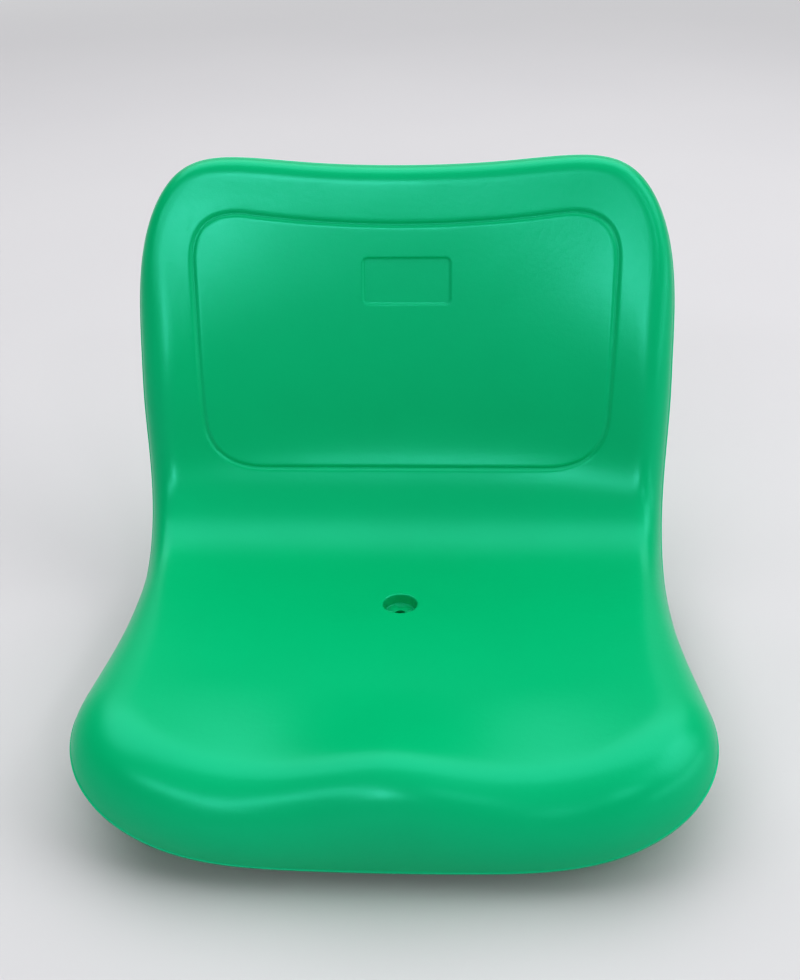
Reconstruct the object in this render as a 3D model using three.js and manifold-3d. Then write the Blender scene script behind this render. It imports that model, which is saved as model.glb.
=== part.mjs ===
// Hollow blow-moulded stadium seat with its moulded-in nuts and blow-hole plug, in millimetres.
// X is to the right, +Y to the rear, +Z up. The foot stands on z = 0.
// The moulding is drawn as a flat pattern (u across, v along the middle line, from nose to top)
// that is laid on a bent middle line, so one outline gives pan, waist and backrest.

import * as THREE from 'three';
import { mergeVertices } from 'three/addons/utils/BufferGeometryUtils.js';
import Module from 'manifold-3d';

const wasm = await Module();
wasm.setup();

// Middle line of the sitting surface, in lengths along the skin and slopes in degrees
const noseRunLength = 70;
const panLength = 248;
const bendLength = 183;
const backLength = 182.5;
const panHeight = 74.3;
const noseRiseDegrees = 19;
const panSlopeDegrees = -5.4;
const backLeanDegrees = 15.6;
const backBowDegrees = 3.6;
const lineMargin = 90;
const lineStep = 2;

// Outline of the flat pattern: half of a control polygon, as shares of half width and length
const seatWidth = 425;
const outlineShares = [
  [0.267, 0.01],
  [0.645, 0.012],
  [0.952, 0.107],
  [0.951, 0.196],
  [0.921, 0.335],
  [0.944, 0.473],
  [0.963, 0.62],
  [0.963, 0.784],
  [1, 0.917],
  [0.83, 1.038],
  [0.387, 1.009],
];

// Cross curve of the sitting surface: how far the sides rise, at the nose, waist, bend and top,
// and the hump between the two thigh dips at the nose
const sideRises = { nose: 17.8, waist: 13.5, bend: 27, top: 6.3 };
const sideRisePower = 2.3;
const sideReachShare = 0.94;
const humpRise = 14;
const humpHalfWidth = 55;
const thighDip = 8;
const thighSpread = 95;
const thighHalfWidth = 55;
const frontShapeLength = 120;
const frontShapeStart = 10;

// Rolled rim: how far in it starts and how far down it drops, at five stations along the pattern
const rimReach = { nose: 46, side: 36, waist: 22, back: 24, top: 24 };
const rimDrop = { nose: 56.8, side: 27.8, waist: 26.9, back: 22.5, top: 15.5 };
const rimSideShare = 0.179;
const rimWaistShare = 0.476;
const rimBackShare = 0.801;
const rimTopShare = 0.967;
const edgeRadius = 7;
const rearBlendLength = 34;

// Double wall: plastic of one skin, and depth over both skins at three stations
const wallThickness = 4;
const shellDepth = { nose: 42, side: 28, back: 26 };

// Foot under the pan
const footWidth = 270;
const footFront = 78;
const footRear = 345;
const footCorner = 48;
const footEdgeRadius = 4;
const footDraftShare = 0.05;
const channelWidth = 26;
const channelDepth = 14;
const channelEdge = 5;

// Bolt place in the pan
const boltStation = 235.5;
const boltHoleDiameter = 8.5;
const counterboreDiameter = 25;
const counterboreDepth = 10;
const counterboreRim = 3;
const boltWeb = 5;
const basePocketDiameter = 44;

// Decorative groove and number-plate recess of the backrest
const grooveTopHalf = 169;
const grooveBottomHalf = 160;
const grooveTop = 590.5;
const grooveBottom = 382;
const grooveSag = 13;
const grooveTopCorner = 34;
const grooveBottomCorner = 42;
const grooveToolRadius = 2.6;
const grooveDepth = 1.4;
const plateWidth = 65;
const plateHeight = 35;
const plateCorner = 4;
const plateDepth = 1;
const plateStation = 533;

// Stiffening flutes of the rear skin
const fluteCount = 3;
const flutePitch = 84;
const fluteRadius = 16;
const fluteDepth = 6;
const fluteLength = 120;
const fluteStation = 500;

// Moulded-in nuts and blow-hole plug
const fitGap = 0.3;
const nutDiameter = 14;
const nutLength = 15;
const nutFlangeDiameter = 18;
const nutFlangeThickness = 2;
const nutBore = 6.8;
const nutBoreDepth = 12;
const nutBossWall = 5;
const nutAcrossShare = 0.625;
const nutFrontShare = 0.467;
const nutRearShare = 0.73;
const plugHeadDiameter = 20;
const plugHeadThickness = 2;
const plugStemDiameter = 12;
const plugStemLength = 9;
const plugFrontShare = 0.5;

// Meshing counts
const samplesPerSpan = 6;
const coarseSamplesPerSpan = 2;
const roundSides = 28;
const smallRoundSides = 18;
const cutOverrun = 20;

const patternLength = panLength + bendLength + backLength;
const halfWidth = seatWidth / 2;
const degree = Math.PI / 180;

// Small mathematics

function smoothStep(x) {
  const t = Math.min(Math.max(x, 0), 1);
  return t * t * (3 - 2 * t);
}

function alongStations(v, stations, values) {
  let result = values[0];
  for (let i = 1; i < stations.length; i += 1) {
    const share = smoothStep((v - stations[i - 1]) / (stations[i] - stations[i - 1]));
    result += (values[i] - values[i - 1]) * share;
  }
  return result;
}

function bellCurve(distance, halfSpan) {
  return Math.exp(-((distance / halfSpan) ** 2));
}

// Closed uniform cubic B-spline through a control polygon
function splineLoop(controls, perSpan) {
  const count = controls.length;
  const points = [];
  for (let i = 0; i < count; i += 1) {
    const four = [-1, 0, 1, 2].map((step) => controls[(i + step + count) % count]);
    for (let k = 0; k < perSpan; k += 1) {
      const t = k / perSpan;
      const weights = [
        (1 - t) ** 3 / 6,
        (3 * t ** 3 - 6 * t ** 2 + 4) / 6,
        (-3 * t ** 3 + 3 * t ** 2 + 3 * t + 1) / 6,
        t ** 3 / 6,
      ];
      points.push([0, 1].map((axis) => weights.reduce((sum, w, j) => sum + w * four[j][axis], 0)));
    }
  }
  return points;
}

// Middle line: integrates the slope along the skin, from below the nose to above the top

function lineSlope(v) {
  const bend = 90 - backLeanDegrees - panSlopeDegrees + backBowDegrees / 2;
  const nose = noseRiseDegrees * (1 - smoothStep(v / noseRunLength));
  const turn = bend * smoothStep((v - panLength) / bendLength);
  const bow = backBowDegrees * Math.max(0, (v - panLength - bendLength) / backLength);
  return (panSlopeDegrees + nose + turn - bow) * degree;
}

function buildLine() {
  const steps = Math.ceil((patternLength + 2 * lineMargin) / lineStep);
  const samples = [];
  let y = 0;
  let z = 0;
  for (let i = 0; i <= steps; i += 1) {
    const v = i * lineStep - lineMargin;
    const middle = lineSlope(v - lineStep / 2);
    y += Math.cos(middle) * lineStep;
    z += Math.sin(middle) * lineStep;
    samples.push({ v, y, z });
  }
  return samples;
}

const lineSamples = buildLine();

function sampleLine(v) {
  const place = (v + lineMargin) / lineStep;
  const index = Math.min(Math.max(Math.floor(place), 0), lineSamples.length - 2);
  const share = place - index;
  const a = lineSamples[index];
  const b = lineSamples[index + 1];
  return { y: a.y + (b.y - a.y) * share, z: a.z + (b.z - a.z) * share };
}

const lineOrigin = sampleLine(noseRunLength);

function linePoint(v) {
  const at = sampleLine(v);
  return { y: at.y - lineOrigin.y, z: at.z - lineOrigin.z + panHeight, slope: lineSlope(v) };
}

// Sitting surface: middle line plus the cross curve

const riseStations = [frontShapeStart, panLength, panLength + bendLength, patternLength];
const riseValues = [sideRises.nose, sideRises.waist, sideRises.bend, sideRises.top];

function surfaceLift(u, v) {
  const side = alongStations(v, riseStations, riseValues);
  const reach = Math.abs(u) / (halfWidth * sideReachShare);
  return side * reach ** sideRisePower;
}

// Hump and thigh dips of the front skin, which fade out at the parting line
function noseRelief(u, v) {
  const front = 1 - smoothStep((v - frontShapeStart) / frontShapeLength);
  const hump = humpRise * bellCurve(u, humpHalfWidth);
  const dips = thighDip * bellCurve(Math.abs(u) - thighSpread, thighHalfWidth);
  return front * (hump - dips);
}

function surfacePoint(u, v) {
  const at = linePoint(v);
  const lift = surfaceLift(u, v);
  return new THREE.Vector3(u, at.y - Math.sin(at.slope) * lift, at.z + Math.cos(at.slope) * lift);
}

function surfaceNormal(u, v) {
  const across = surfacePoint(u + lineStep, v).sub(surfacePoint(u - lineStep, v));
  const along = surfacePoint(u, v + lineStep).sub(surfacePoint(u, v - lineStep));
  return across.cross(along).normalize();
}

// A point at a height above the sitting surface, negative heights are under it
function skinPoint(u, v, height) {
  return surfacePoint(u, v).addScaledVector(surfaceNormal(u, v), height);
}

// Outline of the pattern, exactly symmetric, with its inward directions

function patternOutline(perSpan) {
  const half = outlineShares.map(([width, length]) => [width * halfWidth, length * patternLength]);
  const mirrored = half.map(([u, v]) => [-u, v]).reverse();
  const loop = splineLoop([...half, ...mirrored], perSpan);
  const start = loop.length - perSpan / 2;
  const rightCount = loop.length / 2;
  const right = [];
  for (let i = 0; i <= rightCount; i += 1) {
    right.push(loop[(start + i) % loop.length].slice());
  }
  right[0][0] = 0;
  right[rightCount][0] = 0;
  const left = right.slice(1, rightCount).map(([u, v]) => [-u, v]).reverse();
  const points = [...right, ...left];
  return points.map(([u, v], i) => {
    const before = points[(i + points.length - 1) % points.length];
    const after = points[(i + 1) % points.length];
    const du = after[0] - before[0];
    const dv = after[1] - before[1];
    const length = Math.hypot(du, dv);
    return { u, v, inU: -dv / length, inV: du / length };
  });
}

const rimShares = [0, rimSideShare, rimWaistShare, rimBackShare, rimTopShare];
const rimStations = rimShares.map((share) => share * patternLength);
const depthStations = [0, rimSideShare * patternLength, rimWaistShare * patternLength];
const depthValues = [shellDepth.nose, shellDepth.side, shellDepth.back];
const reachValues = [rimReach.nose, rimReach.side, rimReach.waist, rimReach.back, rimReach.top];
const dropValues = [rimDrop.nose, rimDrop.side, rimDrop.waist, rimDrop.back, rimDrop.top];

function quarterRound(share) {
  const x = Math.min(Math.max(1 - share, 0), 1);
  return 1 - Math.sqrt(Math.max(0, 1 - x * x));
}

function shellDepthAt(v) {
  return alongStations(v, depthStations, depthValues);
}

const spineFront = noseRunLength + humpHalfWidth;
const spineRear = patternLength - grooveTopHalf;

// Rings of one skin of the moulding, from the middle spine out to the parting line.
// A skin set in by the wall gives the hollow.
function skinRings(outline, inset, isFront, rimRoundShares, innerShares) {
  const rimRing = (share) => outline.map(({ u, v, inU, inV }) => {
    const reach = alongStations(v, rimStations, reachValues) - inset;
    const drop = alongStations(v, rimStations, dropValues);
    const edge = edgeRadius - Math.min(inset, edgeRadius / 2);
    const width = isFront ? reach : edge + rearBlendLength;
    const inward = inset + share * width;
    const pu = u + inU * inward;
    const pv = v + inV * inward;
    if (isFront) {
      const fall = quarterRound(share);
      return { pu, pv, height: noseRelief(pu, pv) * (1 - fall) - inset - (drop - inset) * fall };
    }
    const past = share * width;
    const round = drop + edge * (1 - quarterRound(past / edge));
    const level = shellDepthAt(pv) - inset;
    const blend = smoothStep((past - edge) / rearBlendLength);
    return { pu, pv, height: -(round + (level - round) * blend) };
  });
  const rings = rimRoundShares.map(rimRing);
  const last = rings[rings.length - 1];
  for (const share of innerShares) {
    rings.push(last.map((rim) => {
      const middle = Math.min(Math.max(rim.pv, spineFront), spineRear);
      const pu = rim.pu * (1 - share);
      const pv = rim.pv + (middle - rim.pv) * share;
      const height = isFront ? noseRelief(pu, pv) - inset : inset - shellDepthAt(pv);
      return { pu, pv, height };
    }));
  }
  return rings.map((ring) => ring.map(({ pu, pv, height }) => skinPoint(pu, pv, height)));
}

// Geometry from rings of points: neighbouring rings are joined, and ends must have closed up
function ringGeometry(rings, joinEnds) {
  const count = rings[0].length;
  const positions = rings.flat().flatMap((point) => [point.x, point.y, point.z]);
  const index = [];
  const last = joinEnds ? rings.length : rings.length - 1;
  for (let k = 0; k < last; k += 1) {
    const next = (k + 1) % rings.length;
    for (let i = 0; i < count; i += 1) {
      const j = (i + 1) % count;
      const a = k * count + i;
      const b = k * count + j;
      const c = next * count + j;
      const d = next * count + i;
      index.push(a, b, c, a, c, d);
    }
  }
  const geometry = new THREE.BufferGeometry();
  geometry.setAttribute('position', new THREE.Float32BufferAttribute(positions, 3));
  geometry.setIndex(index);
  return geometry;
}

// Solids for joining and cutting

function toSolid(geometry) {
  const plain = geometry.clone();
  plain.deleteAttribute('normal');
  plain.deleteAttribute('uv');
  const merged = mergeVertices(plain, 1e-4);
  const vertices = merged.getAttribute('position').array;
  const index = merged.getIndex().array;
  const corner = (k) => new THREE.Vector3().fromArray(vertices, 3 * k);
  const triangles = [];
  let volume = 0;
  for (let i = 0; i < index.length; i += 3) {
    const [a, b, c] = [index[i], index[i + 1], index[i + 2]];
    if (a !== b && b !== c && c !== a) {
      triangles.push(a, b, c);
      volume += corner(a).dot(corner(b).cross(corner(c)));
    }
  }
  if (volume < 0) {
    triangles.reverse();
  }
  return new wasm.Manifold(new wasm.Mesh({
    numProp: 3,
    vertProperties: new Float32Array(vertices),
    triVerts: new Uint32Array(triangles),
  }));
}

function toGeometry(solid) {
  const mesh = solid.getMesh();
  const geometry = new THREE.BufferGeometry();
  geometry.setAttribute('position', new THREE.Float32BufferAttribute(mesh.vertProperties, 3));
  geometry.setIndex(Array.from(mesh.triVerts));
  return geometry;
}

function uniteAll(solids) {
  return solids.reduce((sum, solid) => sum.add(solid));
}

// A round body on the Z axis from a half profile of [radius, height] points, ends on the axis
function turned(profile, sides) {
  const points = profile.map(([radius, height]) => new THREE.Vector2(radius, height));
  const geometry = new THREE.LatheGeometry(points, sides);
  geometry.rotateX(Math.PI / 2);
  return geometry;
}

function post(radius, bottom, top, sides) {
  return turned([[0, bottom], [radius, bottom], [radius, top], [0, top]], sides);
}

// Axes of the sitting surface at a place on the middle line: across, along, outward
function surfaceFrame(station) {
  const out = surfaceNormal(0, station);
  const across = new THREE.Vector3(1, 0, 0);
  const along = out.clone().cross(across).normalize();
  return { out, across, along };
}

function placeOnSurface(geometry, u, station, height) {
  const { out, across, along } = surfaceFrame(station);
  const place = surfacePoint(0, station).addScaledVector(across, u).addScaledVector(out, height);
  geometry.applyMatrix4(new THREE.Matrix4().makeBasis(across, along, out).setPosition(place));
  return geometry;
}

// Body of the moulding

const frontRimShares = [0, 0.03, 0.12, 0.27, 0.47, 0.72, 1];
const frontInnerShares = [0.16, 0.36, 0.58, 0.8, 1];
const rearRimShares = [0.07, 0.2, 0.6, 1];
const rearInnerShares = [0.35, 0.7, 1];
const hollowFrontShares = [0, 0.2, 0.55, 1];
const hollowInnerShares = [0.4, 0.75, 1];
const hollowRearShares = [0.1, 0.4, 1];

function mouldingBody(inset, perSpan, shares) {
  const outline = patternOutline(perSpan);
  const front = skinRings(outline, inset, true, shares.frontRim, shares.frontInner);
  const rear = skinRings(outline, inset, false, shares.rearRim, shares.rearInner);
  return toSolid(ringGeometry([...front.reverse(), ...rear], false));
}

// Foot: a box with drafted walls that stands on the floor and runs up into the pan

function footOutline(inset) {
  const halfFoot = footWidth / 2 - inset;
  const front = footFront + inset;
  const rear = footRear - inset;
  const corner = footCorner - inset;
  const shape = new THREE.Shape();
  shape.moveTo(0, front);
  shape.lineTo(halfFoot - corner, front);
  shape.absarc(halfFoot - corner, front + corner, corner, -Math.PI / 2, 0, false);
  shape.lineTo(halfFoot, rear - corner);
  shape.absarc(halfFoot - corner, rear - corner, corner, 0, Math.PI / 2, false);
  shape.lineTo(corner - halfFoot, rear);
  shape.absarc(corner - halfFoot, rear - corner, corner, Math.PI / 2, Math.PI, false);
  shape.lineTo(-halfFoot, front + corner);
  shape.absarc(corner - halfFoot, front + corner, corner, Math.PI, 1.5 * Math.PI, false);
  shape.closePath();
  const points = shape.getSpacedPoints(48);
  points.pop();
  return points;
}

function footBody(inset) {
  const pattern = footOutline(inset);
  const middle = new THREE.Vector2(0, (footFront + footRear) / 2);
  const topRings = [0, 0.35, 0.7, 1].map((share) => pattern.map((point) => {
    const at = middle.clone().lerp(point, share);
    return skinPoint(at.x, at.y, -shellDepthAt(at.y) / 2);
  }));
  const topRing = topRings[topRings.length - 1];
  const centre = surfacePoint(middle.x, middle.y);
  const wallRing = (shrink, height) => topRing.map((point) => new THREE.Vector3(
    centre.x + (point.x - centre.x) * shrink,
    centre.y + (point.y - centre.y) * shrink,
    height,
  ));
  const foot = 1 - footDraftShare;
  const round = footEdgeRadius / (footWidth / 2);
  const edge = footEdgeRadius;
  const rounded = [0, 30, 60, 90].map((turn) => wallRing(
    foot - round * (1 - Math.cos(turn * degree)),
    inset + edge * (1 - Math.sin(turn * degree)),
  ));
  const bottom = wallRing(0, inset);
  return toSolid(ringGeometry([...topRings, ...rounded, bottom], false));
}

// Bolt place: counterbore from above, pocket from below, and the web between them

const boltPoint = surfacePoint(0, boltStation);
const counterboreFloor = boltPoint.z - counterboreDepth;
const pocketTop = counterboreFloor - boltWeb;

function boltCutters() {
  const radius = counterboreDiameter / 2;
  const above = boltPoint.z + cutOverrun;
  const well = post(radius, counterboreFloor, above, roundSides);
  const hole = post(boltHoleDiameter / 2, -cutOverrun, above, smallRoundSides);
  const pocket = post(basePocketDiameter / 2, -cutOverrun, pocketTop, roundSides);
  for (const geometry of [well, hole, pocket]) {
    geometry.translate(boltPoint.x, boltPoint.y, 0);
  }
  const rim = [[0, -counterboreRim]];
  for (const turn of [0, 30, 60, 90]) {
    const outward = counterboreRim * (1 - Math.cos(turn * degree));
    rim.push([radius + outward, counterboreRim * (Math.sin(turn * degree) - 1)]);
  }
  rim.push([radius + counterboreRim, cutOverrun], [0, cutOverrun]);
  const flare = placeOnSurface(turned(rim, roundSides), 0, boltStation, 0);
  return uniteAll([well, hole, pocket, flare].map(toSolid));
}

// The walls round the bolt place, which the hollow keeps clear of
function boltWalls() {
  const above = boltPoint.z + cutOverrun;
  const upper = counterboreDiameter / 2 + counterboreRim + wallThickness;
  const lower = basePocketDiameter / 2 + wallThickness;
  const walls = [post(upper, pocketTop, above, roundSides), post(lower, 0, counterboreFloor, roundSides)];
  for (const geometry of walls) {
    geometry.translate(boltPoint.x, boltPoint.y, 0);
  }
  return uniteAll(walls.map(toSolid));
}

// Drain channels across the foot, which meet at the bolt pocket

const footReach = { front: surfacePoint(0, footFront).y, rear: surfacePoint(0, footRear).y };

function channelCutter(grow) {
  const half = channelWidth / 2 + grow;
  const top = channelDepth + grow;
  const edge = channelEdge;
  const shape = new THREE.Shape();
  shape.moveTo(-half, -cutOverrun);
  shape.lineTo(half, -cutOverrun);
  shape.lineTo(half, top - edge);
  shape.absarc(half - edge, top - edge, edge, 0, Math.PI / 2, false);
  shape.lineTo(edge - half, top);
  shape.absarc(edge - half, top - edge, edge, Math.PI / 2, Math.PI, false);
  shape.closePath();
  const trough = (run) => {
    const options = { depth: run + 2 * cutOverrun, bevelEnabled: false, curveSegments: 3 };
    const geometry = new THREE.ExtrudeGeometry(shape, options);
    geometry.translate(0, 0, -run / 2 - cutOverrun);
    return geometry.rotateX(Math.PI / 2);
  };
  const { front, rear } = footReach;
  const along = trough(rear - front).translate(boltPoint.x, (front + rear) / 2, 0);
  const across = trough(footWidth).rotateZ(Math.PI / 2).translate(boltPoint.x, boltPoint.y, 0);
  return toSolid(along).add(toSolid(across));
}

// Groove of the backrest: a round tool led along a rounded frame that sags in the middle

function groovePath() {
  const slant = (grooveTopHalf - grooveBottomHalf) / (grooveTop - grooveBottom);
  const upperHalf = grooveTopHalf - slant * grooveTopCorner;
  const lowerHalf = grooveBottomHalf + slant * grooveBottomCorner;
  const cornerShare = grooveTopCorner / grooveTopHalf;
  const topCornerEnd = grooveTop - grooveSag * cornerShare;
  const path = new THREE.Path();
  path.moveTo(0, grooveBottom);
  path.lineTo(grooveBottomHalf - grooveBottomCorner, grooveBottom);
  path.quadraticCurveTo(grooveBottomHalf, grooveBottom, lowerHalf, grooveBottom + grooveBottomCorner);
  path.lineTo(upperHalf, grooveTop - grooveTopCorner);
  path.quadraticCurveTo(grooveTopHalf, grooveTop, grooveTopHalf - grooveTopCorner, topCornerEnd);
  path.quadraticCurveTo(0, grooveTop - 2 * grooveSag, grooveTopCorner - grooveTopHalf, topCornerEnd);
  path.quadraticCurveTo(-grooveTopHalf, grooveTop, -upperHalf, grooveTop - grooveTopCorner);
  path.lineTo(-lowerHalf, grooveBottom + grooveBottomCorner);
  const lowerLeft = grooveBottomCorner - grooveBottomHalf;
  path.quadraticCurveTo(-grooveBottomHalf, grooveBottom, lowerLeft, grooveBottom);
  path.closePath();
  const points = path.getSpacedPoints(76);
  points.pop();
  return points;
}

function grooveCutter() {
  const path = groovePath();
  const centres = path.map(({ x, y }) => skinPoint(x, y, grooveToolRadius - grooveDepth));
  const rings = centres.map((centre, i) => {
    const before = centres[(i + centres.length - 1) % centres.length];
    const after = centres[(i + 1) % centres.length];
    const out = surfaceNormal(path[i].x, path[i].y);
    const side = after.clone().sub(before).cross(out).normalize();
    return [0, 1, 2, 3, 4, 5].map((step) => {
      const turn = (step + 0.5) * 60 * degree;
      return centre.clone()
        .addScaledVector(side, grooveToolRadius * Math.cos(turn))
        .addScaledVector(out, grooveToolRadius * Math.sin(turn));
    });
  });
  return toSolid(ringGeometry(rings, true));
}

// Recess for a seat-number plate

function plateCutter() {
  const halfPlate = plateWidth / 2;
  const halfHeight = plateHeight / 2;
  const shape = new THREE.Shape();
  shape.moveTo(plateCorner - halfPlate, -halfHeight);
  shape.lineTo(halfPlate - plateCorner, -halfHeight);
  shape.absarc(halfPlate - plateCorner, plateCorner - halfHeight, plateCorner, -Math.PI / 2, 0, false);
  shape.lineTo(halfPlate, halfHeight - plateCorner);
  shape.absarc(halfPlate - plateCorner, halfHeight - plateCorner, plateCorner, 0, Math.PI / 2, false);
  shape.lineTo(plateCorner - halfPlate, halfHeight);
  shape.absarc(plateCorner - halfPlate, halfHeight - plateCorner, plateCorner, Math.PI / 2, Math.PI, false);
  shape.lineTo(-halfPlate, plateCorner - halfHeight);
  shape.absarc(plateCorner - halfPlate, plateCorner - halfHeight, plateCorner, Math.PI, 1.5 * Math.PI, false);
  const options = { depth: cutOverrun, bevelEnabled: false, curveSegments: 4 };
  const geometry = new THREE.ExtrudeGeometry(shape, options);
  return toSolid(placeOnSurface(geometry, 0, plateStation, -plateDepth));
}

// Stiffening flutes of the rear skin: round-ended troughs that run up the back

function fluteCutters(grow) {
  const flutes = [];
  for (let i = 0; i < fluteCount; i += 1) {
    const u = (i - (fluteCount - 1) / 2) * flutePitch;
    const trough = new THREE.CapsuleGeometry(fluteRadius + grow, fluteLength, 3, smallRoundSides);
    const height = surfaceLift(u, fluteStation) - shellDepth.back - fluteRadius + fluteDepth;
    flutes.push(toSolid(placeOnSurface(trough, u, fluteStation, height)));
  }
  return uniteAll(flutes);
}

// Places of the nuts, on the four pads of the foot, and of the plug, in the roof of a channel

function padPlaces() {
  const halfChannel = channelWidth / 2;
  const halfFoot = (footWidth / 2) * (1 - footDraftShare);
  const x = halfChannel + (halfFoot - halfChannel) * nutAcrossShare;
  const frontPad = boltPoint.y - halfChannel - footReach.front;
  const rearPad = footReach.rear - boltPoint.y - halfChannel;
  const yFront = boltPoint.y - halfChannel - frontPad * nutFrontShare;
  const yRear = boltPoint.y + halfChannel + rearPad * nutRearShare;
  return {
    nuts: [
      { name: 'insert_nut_front_left', x: -x, y: yFront },
      { name: 'insert_nut_front_right', x, y: yFront },
      { name: 'insert_nut_rear_left', x: -x, y: yRear },
      { name: 'insert_nut_rear_right', x, y: yRear },
    ],
    plug: { x: 0, y: boltPoint.y - halfChannel - frontPad * plugFrontShare, z: channelDepth },
  };
}

const places = padPlaces();

// Threaded nut with a flange that locks it in the plastic, open below
function nutProfile(grow) {
  const radius = nutDiameter / 2 + grow;
  const flange = nutFlangeDiameter / 2 + grow;
  const top = nutLength + fitGap + grow;
  const step = top - nutFlangeThickness - 2 * grow;
  return { radius, flange, top, step };
}

function insertNut() {
  const { radius, flange, top, step } = nutProfile(0);
  const bore = nutBore / 2;
  const profile = [
    [0, fitGap + nutBoreDepth],
    [bore, fitGap + nutBoreDepth],
    [bore, fitGap],
    [radius, fitGap],
    [radius, step],
    [flange, step],
    [flange, top],
    [0, top],
  ];
  return turned(profile, smallRoundSides);
}

function nutSocket() {
  const { radius, flange, top, step } = nutProfile(fitGap);
  const profile = [[0, -cutOverrun], [radius, -cutOverrun], [radius, step], [flange, step], [flange, top], [0, top]];
  return toSolid(turned(profile, smallRoundSides));
}

function nutBoss() {
  const { flange, top } = nutProfile(fitGap);
  return toSolid(post(flange + nutBossWall, 0, top + nutBossWall, smallRoundSides));
}

// Plug that closes the hole of the blowing needle: a flat head, sunk flush, and a stem
function plugProfile(grow, headBottom, stemTop) {
  const head = plugHeadDiameter / 2 + grow;
  const stem = plugStemDiameter / 2 + grow;
  const seat = plugHeadThickness + fitGap + grow;
  return [[0, headBottom], [head, headBottom], [head, seat], [stem, seat], [stem, stemTop], [0, stemTop]];
}

function blowHolePlug() {
  return turned(plugProfile(0, fitGap, fitGap + plugStemLength), smallRoundSides);
}

function blowHole() {
  const throughWall = plugStemLength + 2 * fitGap;
  return toSolid(turned(plugProfile(fitGap, -channelDepth, throughWall), smallRoundSides));
}

// The roof of the channel is thicker round the plug, so the sunk head keeps a full wall above it
function plugBoss() {
  const radius = plugHeadDiameter / 2 + fitGap + wallThickness;
  return toSolid(post(radius, 0, plugHeadThickness + wallThickness + fitGap, smallRoundSides));
}

function seatShell() {
  const outerShares = {
    frontRim: frontRimShares,
    frontInner: frontInnerShares,
    rearRim: rearRimShares,
    rearInner: rearInnerShares,
  };
  const hollowShares = {
    frontRim: hollowFrontShares,
    frontInner: hollowInnerShares,
    rearRim: hollowRearShares,
    rearInner: hollowInnerShares,
  };
  const body = mouldingBody(0, samplesPerSpan, outerShares).add(footBody(0));
  const hollow = mouldingBody(wallThickness, coarseSamplesPerSpan, hollowShares).add(footBody(wallThickness));
  const atNuts = (solid) => uniteAll(places.nuts.map(({ x, y }) => solid.translate([x, y, 0])));
  const atPlug = (solid) => solid.translate([places.plug.x, places.plug.y, places.plug.z]);
  const cavity = hollow
    .subtract(boltWalls())
    .subtract(channelCutter(wallThickness))
    .subtract(fluteCutters(wallThickness))
    .subtract(atNuts(nutBoss()))
    .subtract(atPlug(plugBoss()));
  return body
    .subtract(boltCutters())
    .subtract(channelCutter(0))
    .subtract(fluteCutters(0))
    .subtract(grooveCutter())
    .subtract(plateCutter())
    .subtract(cavity)
    .subtract(atNuts(nutSocket()))
    .subtract(atPlug(blowHole()));
}

// Materials

const greenPlastic = new THREE.MeshStandardMaterial({ color: 0x04b070, roughness: 0.5, metalness: 0 });
const zincSteel = new THREE.MeshStandardMaterial({ color: 0xa9adb0, roughness: 0.35, metalness: 1 });
const plugPlastic = new THREE.MeshStandardMaterial({ color: 0x069a62, roughness: 0.55, metalness: 0 });

// Assembly, moved so that the middle of its box stands over the origin

function namedMesh(name, geometry, material) {
  const mesh = new THREE.Mesh(geometry, material);
  mesh.name = name;
  return mesh;
}

const seat = new THREE.Group();
const shellGeometry = toGeometry(seatShell());
shellGeometry.computeBoundingBox();
seat.add(namedMesh('seat_shell', shellGeometry, greenPlastic));

for (const { name, x, y } of places.nuts) {
  const nut = namedMesh(name, insertNut(), zincSteel);
  nut.position.set(x, y, 0);
  seat.add(nut);
}

const plug = namedMesh('blow_hole_plug', blowHolePlug(), plugPlastic);
plug.position.set(places.plug.x, places.plug.y, places.plug.z);
seat.add(plug);

const box = shellGeometry.boundingBox;
seat.position.set(-(box.min.x + box.max.x) / 2, -(box.min.y + box.max.y) / 2, 0);

export default seat;
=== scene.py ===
import math

import bpy
import numpy as np
from mathutils import Matrix, Vector, geometry, kdtree


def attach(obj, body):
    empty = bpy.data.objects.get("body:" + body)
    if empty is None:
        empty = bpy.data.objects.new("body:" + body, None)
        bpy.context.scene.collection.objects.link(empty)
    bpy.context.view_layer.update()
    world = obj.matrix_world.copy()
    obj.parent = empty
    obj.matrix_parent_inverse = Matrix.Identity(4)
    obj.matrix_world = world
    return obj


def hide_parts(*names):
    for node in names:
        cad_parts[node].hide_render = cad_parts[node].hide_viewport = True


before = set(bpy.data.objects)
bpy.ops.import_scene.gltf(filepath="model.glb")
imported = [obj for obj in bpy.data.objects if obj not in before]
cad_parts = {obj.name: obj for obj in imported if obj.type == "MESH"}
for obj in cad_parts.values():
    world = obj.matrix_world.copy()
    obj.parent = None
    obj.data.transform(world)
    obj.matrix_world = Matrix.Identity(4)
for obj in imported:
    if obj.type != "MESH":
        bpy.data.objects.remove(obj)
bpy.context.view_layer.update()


# Seat moulding: flat pattern
# The seat is one hollow double-walled piece of high-density polyethylene, blow moulded: a tube of hot
# plastic is closed in a two-part mould and blown against its walls. It is drawn here as a flat
# pattern in millimetres, u across, v along the skin from nose to top, h the height over the skin.

seat_width = 425.0
nose_run = 70.0
pan_run = 248.0
bend_run = 183.0
back_run = 182.5
pattern_length = pan_run + bend_run + back_run
half_width = seat_width / 2
outline_shares = [(0.267, 0.01), (0.645, 0.012), (0.952, 0.107), (0.951, 0.196), (0.921, 0.335),
                  (0.944, 0.473), (0.963, 0.62), (0.963, 0.784), (1, 0.917), (0.83, 1.038), (0.387, 1.009)]
outline_steps = 20

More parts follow.
